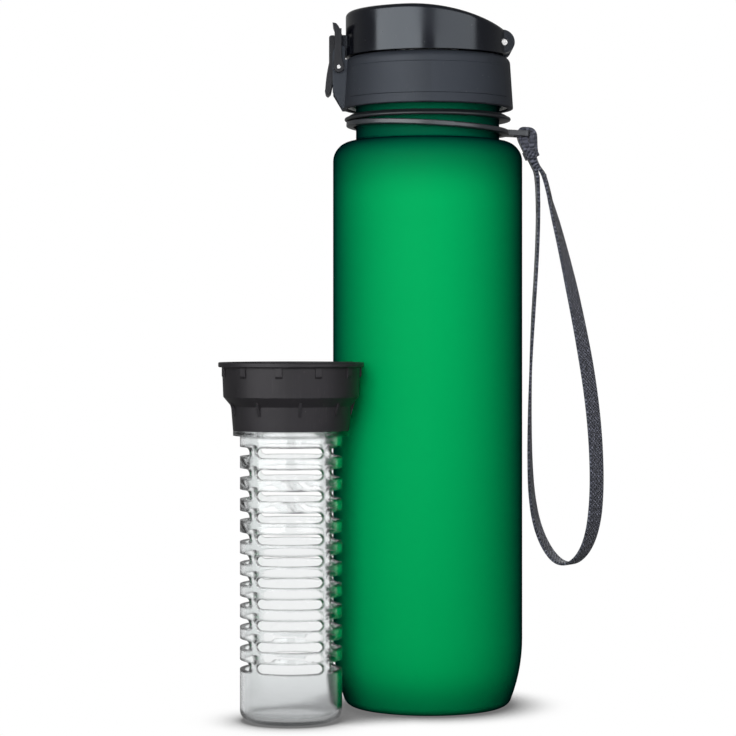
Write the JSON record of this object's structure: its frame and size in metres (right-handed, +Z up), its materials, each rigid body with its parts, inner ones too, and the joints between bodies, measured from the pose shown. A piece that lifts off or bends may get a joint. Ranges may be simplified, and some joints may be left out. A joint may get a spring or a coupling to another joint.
{
  "type": "fruit infuser water bottle",
  "caption": "Round translucent water bottle with a screw lid, latched flip cap over a spout, wrist strap on a neck ring, and a slotted infuser basket standing beside it.",
  "frame": {"origin": "on the bottle's axis, in the plane that its foot stands on", "axes": "+Z up along the bottle's axis, -X towards the lid's latch, +X towards the hinge and the strap, -Y towards the viewer"},
  "size_m": [0.1565, 0.1099, 0.2888],
  "materials": {
    "frosted_green": "frosted translucent",
    "dark_plastic": "satin",
    "strap_webbing": "woven",
    "silicone": "matte",
    "natural_plastic": "satin",
    "matte_grey": "fine matte",
    "steel": "bright",
    "gloss_black": "gloss",
    "black_plastic": "satin",
    "clear_plastic": "clear"
  },
  "bodies": {
    "bottle": {"bottle_body": "frosted_green", "neck_stop_ring": "dark_plastic"},
    "strap": {"strap_ring": "dark_plastic", "strap_hitch": "strap_webbing", "strap_loop": "strap_webbing"},
    "seal": {"lid_gasket": "silicone"},
    "lid": {"lid_liner": "natural_plastic", "lid_collar": "matte_grey", "hinge_pin": "steel", "hinge_spring": "steel", "latch_pin": "steel", "button_spring": "steel"},
    "cap": {"cap_shell": "gloss_black", "spout_seal": "silicone"},
    "button": {"latch_button": "gloss_black"},
    "bail": {"lock_bail": "gloss_black"},
    "infuser": {"infuser_basket": "clear_plastic"},
    "infuser_top": {"infuser_ring": "black_plastic"}
  },
  "joints": [
    {"name": "ring_swivel", "type": "hinge", "parent": "bottle", "child": "strap", "pos_m": [0, 0, 0.2405], "axis": [0, 0, 1], "range_deg": [-85, 175]},
    {"name": "lid_lift", "type": "slide", "parent": "bottle", "child": "seal", "axis": [0, 0, 1], "range_m": [0, 0.0075]},
    {"name": "lid_turn", "type": "hinge", "parent": "seal", "child": "lid", "pos_m": [0, 0, 0.26], "axis": [0, 0, 1], "range_deg": [0, 540]},
    {"name": "cap_flip", "type": "hinge", "parent": "lid", "child": "cap", "pos_m": [0.0314, 0, 0.2752], "axis": [0, 1, 0], "range_deg": [0, 135], "deforming": ["hinge_spring"]},
    {"name": "button_press", "type": "hinge", "parent": "lid", "child": "button", "pos_m": [-0.037, 0, 0.2653], "axis": [0, -1, 0], "range_deg": [0, 8], "stiffness_Nm_per_rad": 0.02, "springref_deg": -5.73, "deforming": ["button_spring"]},
    {"name": "bail_swing", "type": "hinge", "parent": "lid", "child": "bail", "pos_m": [-0.037, 0, 0.2653], "axis": [0, -1, 0], "range_deg": [0, 120]},
    {"name": "infuser_lift", "type": "slide", "parent": "bottle", "child": "infuser", "axis": [0, 0, 1], "range_m": [0, 0.1]},
    {"name": "infuser_ring_lift", "type": "slide", "parent": "infuser", "child": "infuser_top", "axis": [0, 0, 1], "range_m": [0, 0.03]}
  ],
  "couplings": [
    {"joint": "lid_lift", "follows": "lid_turn", "m_per_rad": 0.00079577}
  ]
}
